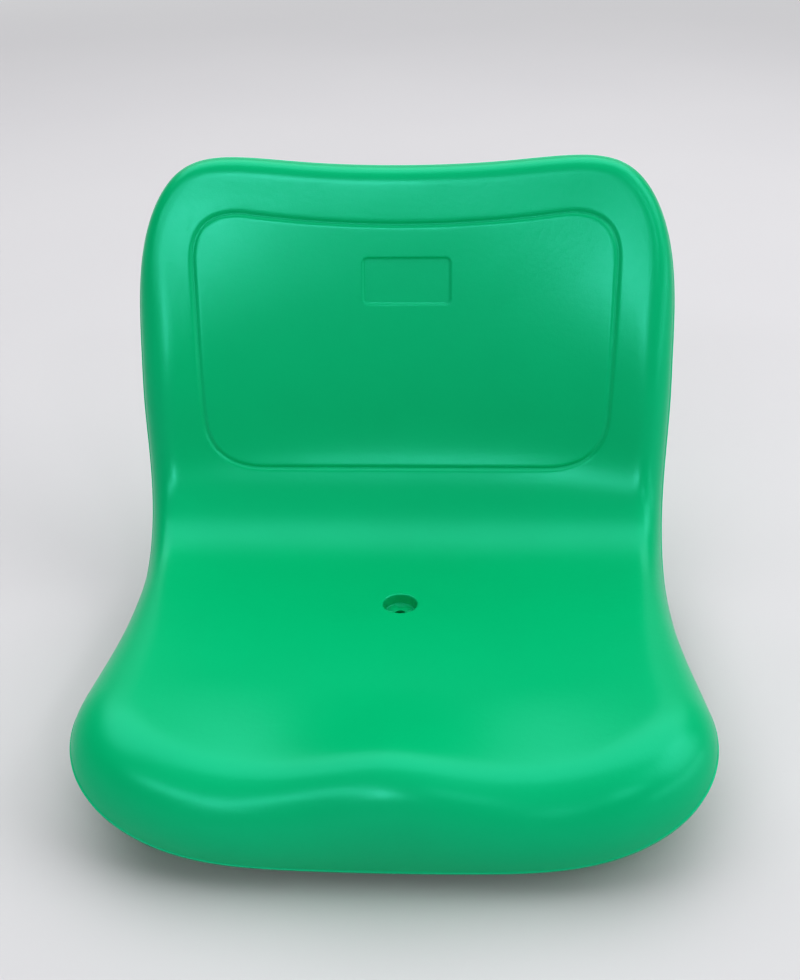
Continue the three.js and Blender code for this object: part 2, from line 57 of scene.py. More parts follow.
rim_stations = [share * pattern_length for share in (0, 0.179, 0.476, 0.801, 0.967)]
rim_reaches = [46, 36, 19, 25, 15]
rim_fullnesses = [2, 2, 2.3, 2.5, 2.5]
rim_drops = [56.8, 27.8, 26.9, 22.5, 15.5]
rim_steps = 14
edge_radius = 7.0
rear_blend = 34.0
depth_stations = rim_stations[:3]
shell_depths = [42, 28, 26]


def smooth_step(x):
    t = np.clip(x, 0.0, 1.0)
    return t * t * (3 - 2 * t)


def along(v, stations, values):
    total = np.zeros_like(np.asarray(v, float)) + values[0]
    for i in range(1, len(stations)):
        share = smooth_step((v - stations[i - 1]) / (stations[i] - stations[i - 1]))
        total = total + (values[i] - values[i - 1]) * share
    return total


def closed_spline(controls, steps):
    four = [np.roll(controls, -k, axis=0) for k in (-1, 0, 1, 2)]
    spans = []
    for k in range(steps):
        t = k / steps
        weights = ((1 - t) ** 3, 3 * t**3 - 6 * t**2 + 4, -3 * t**3 + 3 * t**2 + 3 * t + 1, t**3)
        spans.append(sum(w / 6 * corner for w, corner in zip(weights, four)))
    return np.stack(spans, axis=1).reshape(-1, 2)


def unit(vectors):
    return vectors / np.linalg.norm(vectors, axis=1, keepdims=True)


def inward_of(loop):
    step = unit(np.roll(loop, -1, axis=0) - np.roll(loop, 1, axis=0))
    return np.stack([-step[:, 1], step[:, 0]], axis=1)


right_controls = np.array(outline_shares) * [half_width, pattern_length]
left_controls = (right_controls * [-1, 1])[::-1]
outline = closed_spline(np.vstack([right_controls, left_controls]), outline_steps)
outline = np.roll(outline, outline_steps // 2, axis=0)
outline_in = inward_of(outline)
ring_size = len(outline)

# The hump between the thighs and the dips beside it, which fade out at the parting line, and the
# faint unevenness that a blown skin keeps where it cools away from the mould
relief_start, relief_run = 10, 120
hump_height, dip_depth, relief_width, dip_across = 14, 8, 55, 95
slow_wave, quick_wave = 0.11, 0.035


def nose_relief(u, v):
    front = 1 - smooth_step((v - relief_start) / relief_run)
    hump = hump_height * np.exp(-((u / relief_width) ** 2))
    dips = dip_depth * np.exp(-(((np.abs(u) - dip_across) / relief_width) ** 2))
    return front * (hump - dips)


def skin_wave(u, v):
    slow = np.sin(u / 27 + v / 43 + 1) * np.sin(v / 31 - u / 71 + 0.5)
    quick = np.sin(u / 12.5 - v / 21 + 2) * np.sin(v / 14.5 + u / 37)
    return slow_wave * slow + quick_wave * quick


def shell_depth(v):
    return along(v, depth_stations, shell_depths)


# Rolled rim, in rings from the front skin over the parting line to the rear skin. The two mould
# halves leave a fine raised bead where they meet.
bead_heights = [2.2, 1.1, 0.62, 0.3, 0.0, -0.3, -0.62, -1.1, -2.2]
bead_rises = [0.0, 0.04, 0.34, 0.62, 0.66, 0.62, 0.34, 0.04, 0.0]
rim_reach = along(outline[:, 1], rim_stations, rim_reaches)
rim_drop = along(outline[:, 1], rim_stations, rim_drops)
rim_fullness = along(outline[:, 1], rim_stations, rim_fullnesses)


def lift_angle(height):
    return np.arcsin((height / rim_drop) ** (rim_fullness / 2))


def front_rim_ring(angle, rise):
    share = 1 - np.cos(angle) ** (2 / rim_fullness)
    fall = 1 - np.sin(angle) ** (2 / rim_fullness)
    at = outline + outline_in * (share * rim_reach - rise)[:, None]
    relief = (nose_relief(*at.T) + skin_wave(*at.T)) * (1 - fall)
    return np.column_stack([at, relief - rim_drop * fall])


def rear_rim_ring(past, rise):
    turn = np.clip(1 - past / edge_radius, 0, 1)
    drop = rim_drop + edge_radius * np.sqrt(1 - turn**2)
    at = outline + outline_in * (past - rise)
    blend = smooth_step((past - edge_radius) / rear_blend)
    return np.column_stack([at, -(drop + (shell_depth(at[:, 1]) - drop) * blend)])


rim_rings = []
first_angle = lift_angle(bead_heights[0])
for share in np.linspace(1, 0, rim_steps + 1)[:-1]:
    rim_rings.append(front_rim_ring(first_angle + (math.pi / 2 - first_angle) * share, 0 * rim_drop))
for height, rise in zip(bead_heights, bead_rises):
    if height >= 0:
        rim_rings.append(front_rim_ring(lift_angle(height), rise))
    else:
        rim_rings.append(rear_rim_ring(edge_radius * (1 - math.sqrt(1 - (height / edge_radius) ** 2)), rise))
for degrees in (30, 42, 54, 66, 78, 90):
    rim_rings.append(rear_rim_ring(edge_radius * (1 - math.cos(math.radians(degrees))), 0))
for share in (0.1, 0.22, 0.34, 0.46, 0.58, 0.7, 0.82, 0.91, 1):
    rim_rings.append(rear_rim_ring(edge_radius + rear_blend * share, 0))


# Filling a flat region between loops with even triangles, some of whose points lie on feature lines
def inside(points, loop):
    hit = np.zeros(len(points), bool)
    for (ax, ay), (bx, by) in zip(loop, np.roll(loop, -1, axis=0)):
        if ay != by:
            crosses = (ay > points[:, 1]) != (by > points[:, 1])
            hit ^= crosses & (points[:, 0] < ax + (points[:, 1] - ay) * (bx - ax) / (by - ay))
    return hit


def apart_from(points, others, distance):
    tree = kdtree.KDTree(len(others))
    for i, (a, b) in enumerate(others):
        tree.insert((a, b, 0), i)
    tree.balance()
    far = [tree.find((a, b, 0))[2] >= distance for a, b in points]
    return points[np.array(far, bool)]


def even_points(loop, spacing):
    low, high = loop.min(0), loop.max(0)
    rows = np.arange(low[1], high[1], spacing * math.sqrt(0.75))
    points = np.array([(x + spacing / 2 * (i % 2), y) for i, y in enumerate(rows)
                       for x in np.arange(low[0], high[0], spacing)])
    return points[inside(points, loop)]


def fill(border, holes, lines, spacing, clearance):
    fixed = [border, *holes]
    kept = [points for points in lines if len(points)]
    grid = even_points(border, spacing)
    for hole in holes:
        grid = grid[~inside(grid, hole)]
    grid = apart_from(grid, np.vstack([*fixed, *kept]), clearance)
    points = np.vstack([*fixed, *kept, grid])
    edges = []
    start = 0
    for loop in fixed:
        edges += [(start + i, start + (i + 1) % len(loop)) for i in range(len(loop))]
        start += len(loop)
    flat = geometry.delaunay_2d_cdt([Vector(p) for p in points], edges, [], 0, 1e-7, True)
    source = [originals[0] for originals in flat[3]]
    triangles = np.array([[source[k] for k in face] for face in flat[2]])
    middle = points[triangles].mean(axis=1)
    keep = inside(middle, border)
    for hole in holes:
        keep &= ~inside(middle, hole)
    triangles = triangles[keep]
    a, b, c = (points[triangles[:, k]] for k in range(3))
    turn = (b[:, 0] - a[:, 0]) * (c[:, 1] - a[:, 1]) - (b[:, 1] - a[:, 1]) * (c[:, 0] - a[:, 0])
    triangles[turn < 0] = triangles[turn < 0][:, ::-1]
    return points, triangles


def even_loop(loop, spacing):
    closed = np.vstack([loop, loop[:1]])
    lengths = np.concatenate([[0], np.cumsum(np.linalg.norm(np.diff(closed, axis=0), axis=1))])
    count = max(12, round(lengths[-1] / spacing))
    at = np.linspace(0, lengths[-1], count, endpoint=False)
    return np.column_stack([np.interp(at, lengths, closed[:, k]) for k in (0, 1)])


def rounded_frame(half_x, half_y, corner, spacing, middle_y=0.0):
    points = []
    for quarter, (sx, sy) in enumerate([(1, -1), (1, 1), (-1, 1), (-1, -1)]):
        steps = max(5, math.ceil(corner * math.pi / 2 / spacing))
        for k in range(steps + 1):
            turn = math.radians(90 * (quarter - 1 + k / steps))
            points.append(((half_x - corner) * sx + corner * math.cos(turn),
                           (half_y - corner) * sy + corner * math.sin(turn)))
    return even_loop(np.array(points) + [0, middle_y], spacing)


def circle(radius, count, middle=(0.0, 0.0)):
    turn = np.arange(count) * 2 * math.pi / count
    return np.column_stack([np.cos(turn), np.sin(turn)]) * radius + middle


# Front skin: a shallow groove pressed round the backrest, the empty recess for a seat number, and the
# opening of the bolt well
groove_half_top, groove_half_bottom = 167.6, 160.3
groove_top, groove_bottom, groove_sag = 586.5, 379.3, 10
groove_corner_top, groove_corner_bottom = 41, 47
groove_depth, groove_spread = 1.35, 1.75
groove_offsets = [-4.8, -3.6, -2.9, -2.3, -1.8, -1.3, -0.9, -0.45, 0, 0.45, 0.9, 1.3, 1.8, 2.3, 2.9, 3.6, 4.8]
line_spacing = 3.2
plate_half_width, plate_half_height, plate_corner, plate_depth, plate_wall = 34.6, 18.0, 4, 1.2, 0.9
plate_across, plate_station, plate_spacing, plate_margin = 1.8, 531.6, 1.6, 2
plate_offsets = [-2.2, -1.4, -0.9, -0.6, -0.3, 0, 0.3, 0.6, 0.9, 1.4, 2.2]
bolt_station = 235.5
well_opening = 17.5
well_columns = 144
well_surrounds = [(19.5, 72), (22.5, 48)]
front_spacing, front_clearance = 5.0, 3.0


def curve_between(start, pull, end, count=12):
    t = np.linspace(0, 1, count, endpoint=False)[:, None]
    return (1 - t) ** 2 * np.array(start) + 2 * t * (1 - t) * np.array(pull) + t**2 * np.array(end)


def groove_line():
    slant = (groove_half_top - groove_half_bottom) / (groove_top - groove_bottom)
    upper = groove_half_top - slant * groove_corner_top
    lower = groove_half_bottom + slant * groove_corner_bottom
    crest = groove_top - groove_sag * groove_corner_top / groove_half_top
    inner_bottom = groove_half_bottom - groove_corner_bottom
    inner_top = groove_half_top - groove_corner_top
    low, high = groove_bottom + groove_corner_bottom, groove_top - groove_corner_top
    parts = [
        curve_between((inner_bottom, groove_bottom), (groove_half_bottom, groove_bottom), (lower, low)),
        curve_between((lower, low), ((lower + upper) / 2, (low + high) / 2), (upper, high)),
        curve_between((upper, high), (groove_half_top, groove_top), (inner_top, crest)),
        curve_between((inner_top, crest), (0, groove_top - 2 * groove_sag), (-inner_top, crest), count=40),
        curve_between((-inner_top, crest), (-groove_half_top, groove_top), (-upper, high)),
        curve_between((-upper, high), (-(lower + upper) / 2, (low + high) / 2), (-lower, low)),
        curve_between((-lower, low), (-groove_half_bottom, groove_bottom), (-inner_bottom, groove_bottom)),
        np.array([(-inner_bottom, groove_bottom)]),
    ]
    return even_loop(np.vstack(parts), line_spacing)


groove = groove_line()
groove_in = inward_of(groove)
front_border = rim_rings[0][:, :2]
well_loop = circle(well_opening, well_columns, (0, bolt_station))
front_lines = []
front_drops = []
for offset in groove_offsets:
    front_lines.append(groove + groove_in * offset)
    front_drops.append(np.full(len(groove), -groove_depth * math.exp(-((offset / groove_spread) ** 2))))
for offset in plate_offsets:
    plate_line = rounded_frame(plate_half_width + offset, plate_half_height + offset, plate_corner + offset,
                               plate_spacing, plate_station)
    front_lines.append(plate_line + [plate_across, 0])
    press = 1 - smooth_step((offset + plate_wall) / (2 * plate_wall))
    front_drops.append(np.full(len(plate_line), -plate_depth * press))
front_lines += [circle(radius, count, (0, bolt_station)) for radius, count in well_surrounds]
front_points, front_triangles = fill(front_border, [well_loop], front_lines, front_spacing, front_clearance)
front_height = nose_relief(*front_points.T) + skin_wave(*front_points.T)
pressed = np.concatenate(front_drops)
start = ring_size + well_columns
front_height[start:start + len(pressed)] += pressed
from_plate = np.abs(front_points - [plate_across, plate_station])
in_plate = np.all(from_plate < [plate_half_width - plate_margin, plate_half_height - plate_margin], axis=1)
in_plate[:start + len(pressed)] = False
front_height[in_plate] -= plate_depth

# Rear skin: three stiffening flutes run up the back, and the foot grows out under the pan with a
# soft fillet
flute_pitch, flute_radius, flute_sink, flute_half_length, flute_station = 84, 16, 6, 60, 500
flute_softness = 1.3
flute_rings = [0.6, 3.5, 6.5, 9, 10.8, 12, 13, 14.2, 16, 19]
rear_spacing, rear_clearance = 5.6, 3.4
foot_half_width, foot_front, foot_rear, foot_corner = 135, 78, 345, 48
foot_draft, foot_edge, foot_fillet, foot_spacing = 0.05, 4, 6, 1.0
channel_half, channel_depth, channel_corner, channel_draft = 13, 14, 5, 0.4
pad_edge, pad_corner = 2, 4


def flute_profile(distance):
    run = flute_radius - flute_sink
    half = math.sqrt(flute_radius**2 - run**2)
    d = np.asarray(distance, float)
    near = np.sqrt(np.maximum(flute_radius**2 - d**2, 0)) - run
    depth = np.where(d < half, near, (half - d) * half / run)
    return (depth + np.sqrt(depth**2 + flute_softness**2)) / 2


def capsule(half_length, radius, middle, spacing):
    turn = np.linspace(0, math.pi, max(5, round(radius * math.pi / spacing)))
    top = np.column_stack([np.cos(turn) * radius, np.sin(turn) * radius + half_length])
    return even_loop(np.vstack([top, -top]), spacing) + middle


def foot_frame(shrink, rear):
    half_y, middle_y = (rear - foot_front) / 2 - shrink, (foot_front + rear) / 2
    return rounded_frame(foot_half_width - shrink, half_y, foot_corner - shrink, foot_spacing, middle_y)


# Laying the flat pattern on the seat's middle line, in metres: a Geometry Nodes tree reads u, v, h as a
# mesh's x, y, z, finds the place and the slope of the middle line at v, lifts the sides by their rise
# and stands h upright on that surface. So pan, waist and backrest come from one rule.
pan_height = 74.3
nose_rise, pan_slope, back_lean, back_bow = 19, -5.4, 15.6, 3.6
line_margin, line_step = 90, 2
middle_to_nose = 162.9296
side_rises = {"Rise at nose": 17.8, "Rise at waist": 13.5, "Rise at bend": 27, "Rise at top": 6.3}
rise_stations = [10, pan_run, pan_run + bend_run, pattern_length]
rise_power = 2.3
rise_reach = half_width * 0.94
normal_step = 2
mm = 0.001


def line_slope(v):
    turn = 90 - back_lean - pan_slope + back_bow / 2
    rise = nose_rise * (1 - smooth_step(v / nose_run))
    bow = back_bow * np.maximum(0, (v - pan_run - bend_run) / back_run)
    return np.radians(pan_slope + rise + turn * smooth_step((v - pan_run) / bend_run) - bow)


def put_in_scene(name, data):
    thing = bpy.data.objects.new(name, data)
    bpy.context.scene.collection.objects.link(thing)
    return thing


line_count = math.ceil((pattern_length + 2 * line_margin) / line_step) + 1
line_at = np.arange(line_count) * line_step - line_margin
line_turn = line_slope(line_at - line_step / 2)
line_y = np.cumsum(np.cos(line_turn)) * line_step
line_z = np.cumsum(np.sin(line_turn)) * line_step
line_y -= np.interp(nose_run, line_at, line_y) + middle_to_nose
line_z -= np.interp(nose_run, line_at, line_z) - pan_height

middle_curve = bpy.data.curves.new("middle_line", "CURVE")
middle_curve.dimensions = "3D"
middle_spline = middle_curve.splines.new("POLY")
middle_spline.points.add(line_count - 1)
middle_spline.points.foreach_set("co", np.column_stack(
    [0 * line_y, line_y * mm, line_z * mm, 0 * line_y + 1]).ravel())
middle_line = put_in_scene("middle_line", middle_curve)


def add_node(tree, kind, inputs=None, **settings):
    """A node, with each input set or linked, where another node stands for its first output"""
    node = tree.nodes.new(kind)
    for name, value in settings.items():
        setattr(node, name, value)
    for socket, value in (inputs or {}).items():
        if isinstance(value, bpy.types.Node):
            value = value.outputs[0]
        if isinstance(value, bpy.types.NodeSocket):
            tree.links.new(value, node.inputs[socket])
        else:
            node.inputs[socket].default_value = value
    return node


def calc(tree, operation, *values, on="Math"):
    return add_node(tree, "ShaderNode" + on, dict(enumerate(values)), operation=operation)


def remap(tree, value, low, high, to_low=0.0, to_high=1.0, **settings):
    return add_node(tree, "ShaderNodeMapRange", {
        "Value": value, "From Min": low, "From Max": high, "To Min": to_low, "To Max": to_high}, **settings)


def open_tree(name, inputs, output, output_kind="Geometry"):
    """A Geometry Nodes tree, its input sockets by name, and what it is given"""
    tree = bpy.data.node_groups.new(name, "GeometryNodeTree")
    sockets = {key: tree.interface.new_socket(key, in_out="INPUT", socket_type="NodeSocket" + kind)
               for key, kind in inputs.items()}
    tree.interface.new_socket(output, in_out="OUTPUT", socket_type="NodeSocket" + output_kind)
    return tree, sockets, add_node(tree, "NodeGroupInput").outputs


def close_tree(tree, shape, finish):
    real = add_node(tree, "GeometryNodeRealizeInstances", {0: shape})
    dressed = add_node(tree, "GeometryNodeSetMaterial", {"Geometry": real, "Material": finish})
    add_node(tree, "NodeGroupOutput", {0: dressed})


rise_inputs = dict.fromkeys(side_rises, "Float")
tree, _, given = open_tree("sitting_surface_point", {
    "Middle line": "Geometry", "Across": "Float", "Along": "Float", **rise_inputs}, "Point", "Vector")
sitting_point = tree
rise_names = list(side_rises)
rise_total = given[rise_names[0]]
for i in range(1, len(rise_names)):
    change = calc(tree, "SUBTRACT", given[rise_names[i]], given[rise_names[i - 1]])
    step = remap(tree, given["Along"], rise_stations[i - 1] * mm, rise_stations[i] * mm, 0.0, change,
                 interpolation_type="SMOOTHSTEP")
    rise_total = calc(tree, "ADD", rise_total, step)
side = calc(tree, "DIVIDE", calc(tree, "ABSOLUTE", given["Across"]), rise_reach * mm)
lift = calc(tree, "MULTIPLY", calc(tree, "POWER", side, rise_power), rise_total)
run = calc(tree, "ADD", given["Along"], line_margin * mm)
on_line = add_node(tree, "GeometryNodeSampleCurve", {
    "Curves": given["Middle line"], "Length": run}, mode="LENGTH")
upright = calc(tree, "CROSS_PRODUCT", (1, 0, 0), on_line.outputs["Tangent"], on="VectorMath")
raised = add_node(tree, "ShaderNodeVectorMath", {0: upright, "Scale": lift}, operation="SCALE")
sideways = add_node(tree, "ShaderNodeCombineXYZ", {0: given["Across"]})
summed = calc(tree, "ADD", on_line.outputs["Position"], raised, on="VectorMath")
add_node(tree, "NodeGroupOutput", {0: calc(tree, "ADD", summed, sideways, on="VectorMath")})

tree, laying_sockets, given = open_tree("lay_pattern_on_middle_line", {
    "Pattern": "Geometry", "Middle line": "Object", "Finish": "Material", **rise_inputs}, "Seat")
laying = tree
curve_in = add_node(tree, "GeometryNodeObjectInfo", {"Object": given["Middle line"]})
flat_place = add_node(tree, "ShaderNodeSeparateXYZ", {0: add_node(tree, "GeometryNodeInputPosition")}).outputs
placed = []
for du, dv in [(0, 0), (1, 0), (-1, 0), (0, 1), (0, -1)]:
    placed.append(add_node(tree, "GeometryNodeGroup", {
        "Middle line": curve_in.outputs["Geometry"],
        "Across": calc(tree, "ADD", flat_place[0], du * normal_step * mm),
        "Along": calc(tree, "ADD", flat_place[1], dv * normal_step * mm),
        **{name: given[name] for name in side_rises}}, node_tree=sitting_point))
over = calc(tree, "SUBTRACT", placed[1], placed[2], on="VectorMath")
ahead = calc(tree, "SUBTRACT", placed[3], placed[4], on="VectorMath")
normal = calc(tree, "NORMALIZE", calc(tree, "CROSS_PRODUCT", over, ahead, on="VectorMath"), on="VectorMath")
height = add_node(tree, "ShaderNodeVectorMath", {0: normal, "Scale": flat_place[2]}, operation="SCALE")
final = calc(tree, "ADD", placed[0], height, on="VectorMath")
moved = add_node(tree, "GeometryNodeSetPosition", {"Geometry": given["Pattern"], "Position": final})
close_tree(tree, moved, given["Finish"])


def mesh_of(name, points, faces):
    mesh = bpy.data.meshes.new(name)
    mesh.from_pydata((np.asarray(points) * mm).tolist(), [], faces)
    return mesh


def run_through(tree, sockets, mesh, values):
    """The plain mesh that a Geometry Nodes tree makes of another, which is then removed"""
    carrier = put_in_scene(mesh.name, mesh)
    modifier = carrier.modifiers.new("tree", "NODES")
    modifier.node_group = tree
    for name, value in values.items():
        modifier[sockets[name].identifier] = value
    bpy.context.view_layer.update()
    made = bpy.data.meshes.new_from_object(carrier.evaluated_get(bpy.context.evaluated_depsgraph_get()))
    carrier.modifiers.remove(modifier)
    bpy.data.objects.remove(carrier)
    bpy.data.meshes.remove(mesh)
    return made


def vertex_places(mesh):
    places = np.zeros(len(mesh.vertices) * 3)
    mesh.vertices.foreach_get("co", places)
    return places.reshape(-1, 3)


def laid_points(points, faces=(), finish=None):
    rises = {name: rise * mm for name, rise in side_rises.items()}
    laid = run_through(laying, laying_sockets, mesh_of("flat_pattern", points, faces),
                       {"Middle line": middle_line, "Finish": finish, **rises})
    places = vertex_places(laid) / mm
    bpy.data.meshes.remove(laid)
    return places


# Foot: its walls run down from the fillet to a rounded edge, round two crossing drain channels and
# four pads. Columns of the wall are set where the channels' edges cross it.
pad_steps = [-0.7, 0, 0.8, 1.4, 1.8, 2.0, 2.4, 2.6, 3.2, 4.4, 6, 7.4, 9.5, 12]
rear_shift, side_shift = 10.5, 1.2
column_spacing, column_clearance = 3.3, 1.0
bolt_place = laid_points([(0, bolt_station, 0)])[0]


def pad_profile(d):
    d = np.asarray(d, float)
    wall = pad_edge + channel_draft
    top = wall + channel_corner
    low = pad_edge - np.sqrt(np.maximum(pad_edge**2 - np.clip(d, 0, pad_edge) ** 2, 0))
    rising = (d - pad_edge) / channel_draft * (channel_depth - channel_corner - pad_edge) + pad_edge
    corner = np.sqrt(np.maximum(channel_corner**2 - (top - np.clip(d, wall, top)) ** 2, 0))
    return np.where(d <= pad_edge, low, np.where(d <= wall, rising, channel_depth - channel_corner + corner))


def channel_height(x, y):
    edge = channel_half + pad_edge + pad_corner
    past_x = np.maximum(edge - np.abs(x - bolt_place[0]), 0)
    past_y = np.maximum(edge - np.abs(y - bolt_place[1]), 0)
    return pad_profile(np.hypot(past_x, past_y) - pad_corner)


fine_frame = foot_frame(0, foot_rear)
joint_frame = foot_frame(side_shift, foot_rear - rear_shift + side_shift)
middle_depth = -shell_depth(fine_frame[:, 1]) / 2
foot_top = laid_points(np.column_stack([fine_frame, middle_depth]))
foot_centre = laid_points([(0, (foot_front + foot_rear) / 2, 0)])[0]
round_share = foot_edge / foot_half_width
inner_share = 1 - foot_draft - round_share
inner_ring = foot_centre + (foot_top - foot_centre) * inner_share

crossings = []
frame_count = len(inner_ring)
for axis in (0, 1):
    offsets = [side * (channel_half + pad_edge - d) for d in pad_steps for side in (-1, 1)] + [0]
    for offset in offsets:
        gap = inner_ring[:, axis] - (bolt_place[axis] + offset)
        after = np.roll(gap, -1)
        for i in np.nonzero((gap > 0) != (after > 0))[0]:
            crossings.append(i + gap[i] / (gap[i] - after[i]))
crossings = np.array(sorted(crossings))
plain = np.arange(0, frame_count, column_spacing)
plain = plain[[np.abs(crossings - p).min() > column_clearance for p in plain]]
columns = np.sort(np.concatenate([crossings, plain]))
column_count = len(columns)


def at_columns(loop, scale=1.0):
    closed = np.concatenate([loop, loop[:1]])
    steps = np.arange(len(closed))
    return np.column_stack([np.interp(columns * scale, steps, values) for values in closed.T])


joint_loop = at_columns(joint_frame, len(joint_frame) / frame_count)
joint_out = -inward_of(joint_loop)
fillet_rings = []
for degrees in (0, 15, 30, 45, 60, 75, 90):
    turn = math.radians(degrees)
    at = joint_loop + joint_out * foot_fillet * (1 - math.sin(turn))
    fillet_rings.append(np.column_stack([at, -shell_depth(at[:, 1]) - foot_fillet * (1 - math.cos(turn))]))

rear_lines = []
rear_sinks = []
for place in (-flute_pitch, 0, flute_pitch):
    for radius in flute_rings:
        line = capsule(flute_half_length, radius, (place, flute_station), line_spacing)
        rear_lines.append(line)
        rear_sinks.append(np.full(len(line), flute_profile(radius)))
rear_points, rear_triangles = fill(rim_rings[-1][:, :2], [fillet_rings[0][:, :2]], rear_lines,
                                   rear_spacing, rear_clearance)
rear_height = -shell_depth(rear_points[:, 1])
sunk = np.concatenate(rear_sinks)
start = ring_size + column_count
rear_height[start:start + len(sunk)] += sunk

# One mesh of the whole flat pattern, laid on the middle line
skin_points = [np.vstack(rim_rings)]
skin_faces = []
for k in range(len(rim_rings) - 1):
    for i in range(ring_size):
        a, b, j = k * ring_size, (k + 1) * ring_size, (i + 1) % ring_size
        skin_faces.append((a + i, b + i, b + j, a + j))


def add_points(points):
    base = sum(len(p) for p in skin_points)
    skin_points.append(np.asarray(points, float))
    return base + np.arange(len(points))


def add_region(region, heights, triangles, shared, flip=False):
    """shared maps the region's first points, its border and holes, to points that are there already"""
    ids = np.concatenate([shared, add_points(np.column_stack([region, heights])[len(shared):])])
    skin_faces.extend((a, c, b) if flip else (a, b, c) for a, b, c in ids[triangles].tolist())
    return ids


def grow(last, ring, flip=False):
    """A band of faces from the last ring of points to a new one"""
    ids = add_points(ring)
    for i in range(len(ids)):
        j = (i + 1) % len(ids)
        quad = (int(last[i]), int(last[j]), int(ids[j]), int(ids[i]))
        skin_faces.append(quad[::-1] if flip else quad)
    return ids


front_ids = add_region(front_points, front_height, front_triangles, np.arange(ring_size))
fillet_ids = wall_ids = add_points(fillet_rings[0])
for ring in fillet_rings[1:]:
    wall_ids = grow(wall_ids, ring)
last_rim_ids = (len(rim_rings) - 1) * ring_size + np.arange(ring_size)
add_region(rear_points, rear_height, rear_triangles, np.concatenate([last_rim_ids, fillet_ids]), flip=True)

# Finish of the moulding: pigmented high-density polyethylene from a finely blasted mould, so it has
# a satin skin with a fine grain, soft wide highlights and slight clouds in the green. The trimmed
# bead is smoother, and a painted highlight along the parting line makes it paler.
# The pale tone of the bead is a painted highlight along the parting line.
skin_green, skin_green_deep, painted_bead_highlight = "03ba80", "03b27a", "26c490"
grain_size, orange_peel, cloud_size, scuff_size = 0.8, 4.0, 90.0, 2.2
grain_depth, peel_depth, skin_bump = 0.1, 0.12, 0.5
patch_low, patch_high = 0.3, 0.7
smooth_skin, dull_skin, bead_polish = 0.28, 0.32, 0.1
scuff_low, scuff_high, scuff_dulling, scuff_turn, scuff_stretch = 0.62, 0.75, 0.06, 0.5, 0.16


def srgb(code):
    values = [int(code[i:i + 2], 16) / 255 for i in (0, 2, 4)]
    return (*(c / 12.92 if c <= 0.04045 else ((c + 0.055) / 1.055) ** 2.4 for c in values), 1.0)


def new_finish(name):
    """A bare material, its tree, and the place on the piece that its patterns read"""
    material = bpy.data.materials.new(name)
    material.use_nodes = True
    material.node_tree.nodes.clear()
    where = add_node(material.node_tree, "ShaderNodeTexCoord").outputs["Object"]
    return material, material.node_tree, where


def noise(tree, where, size, detail, **inputs):
    return add_node(tree, "ShaderNodeTexNoise", {
        "Vector": where, "Scale": 1 / (size * mm), "Detail": detail, **inputs})


def two_tones(tree, share, first, second):
    tones = [srgb(tone) if isinstance(tone, str) else tone for tone in (first, second)]
    inputs = {"Factor": share, 6: tones[0], 7: tones[1]}
    return add_node(tree, "ShaderNodeMix", inputs, data_type="RGBA").outputs[2]


def bump(tree, height, strength, depth, **inputs):
    return add_node(tree, "ShaderNodeBump", {
        "Height": height, "Strength": strength, "Distance": depth * mm, **inputs})


moulded_hdpe, tree, where = new_finish("blow_moulded_hdpe_green")
clouds = noise(tree, where, cloud_size, 2.0)
# The bead mask lowers the roughness on the bead and lays the painted highlight tone over the green there.
bead = add_node(tree, "ShaderNodeAttribute", attribute_name="bead").outputs["Fac"]
colour = two_tones(tree, bead, two_tones(tree, clouds, skin_green, skin_green_deep), painted_bead_highlight)
grain = bump(tree, noise(tree, where, grain_size, 3.0, Roughness=0.6), skin_bump, grain_depth)
skin = bump(tree, noise(tree, where, orange_peel, 2.0), skin_bump, peel_depth, Normal=grain)
stretched = add_node(tree, "ShaderNodeMapping", {
    "Vector": where, "Rotation": (0, 0, scuff_turn), "Scale": (scuff_stretch, 1, 1)})
worn = remap(tree, noise(tree, stretched, scuff_size, 4.0), scuff_low, scuff_high, 0.0, scuff_dulling)
rough = calc(tree, "ADD", remap(tree, clouds, patch_low, patch_high, smooth_skin, dull_skin), worn)
rough = calc(tree, "SUBTRACT", rough, calc(tree, "MULTIPLY", bead, bead_polish))
plastic = add_node(tree, "ShaderNodeBsdfPrincipled", {
    "Base Color": colour, "Roughness": rough, "IOR": 1.54, "Specular IOR Level": 0.6,
    "Specular Tint": (0.3, 1.0, 1.0, 1.0), "Normal": skin})
add_node(tree, "ShaderNodeOutputMaterial", {0: plastic})

skin_points = [laid_points(np.vstack(skin_points), skin_faces, moulded_hdpe)]

# Foot walls, from the fillet's last ring down to the rounded edge
wall_steps, wall_pull = 9, 0.3
foot_top = at_columns(foot_top)
centre = foot_centre[:2]


def foot_ring(share, height):
    return np.column_stack([centre + (foot_top[:, :2] - centre) * share, height])


inner = foot_ring(inner_share, np.zeros(column_count))
floor_level = channel_height(inner[:, 0], inner[:, 1])
edge_top = foot_ring(1 - foot_draft, floor_level + foot_edge)
wall_start = skin_points[0][wall_ids]
wall_way = unit(wall_start - skin_points[0][wall_ids - column_count])
reach = np.linalg.norm(edge_top - wall_start, axis=1, keepdims=True)
upper_pull = wall_start + wall_way * reach * wall_pull
lower_pull = edge_top + unit(foot_top - edge_top) * reach * wall_pull
previous = wall_ids
for share in np.linspace(0, 1, wall_steps + 1)[1:]:
    a, b, c, d = (1 - share) ** 3, 3 * share * (1 - share) ** 2, 3 * share**2 * (1 - share), share**3
    previous = grow(previous, a * wall_start + b * upper_pull + c * lower_pull + d * edge_top)
for degrees in (18, 36, 54, 72, 90):
    turn = math.radians(degrees)
    share = 1 - foot_draft - round_share * (1 - math.cos(turn))
    previous = grow(previous, foot_ring(share, floor_level + foot_edge * (1 - math.sin(turn))))

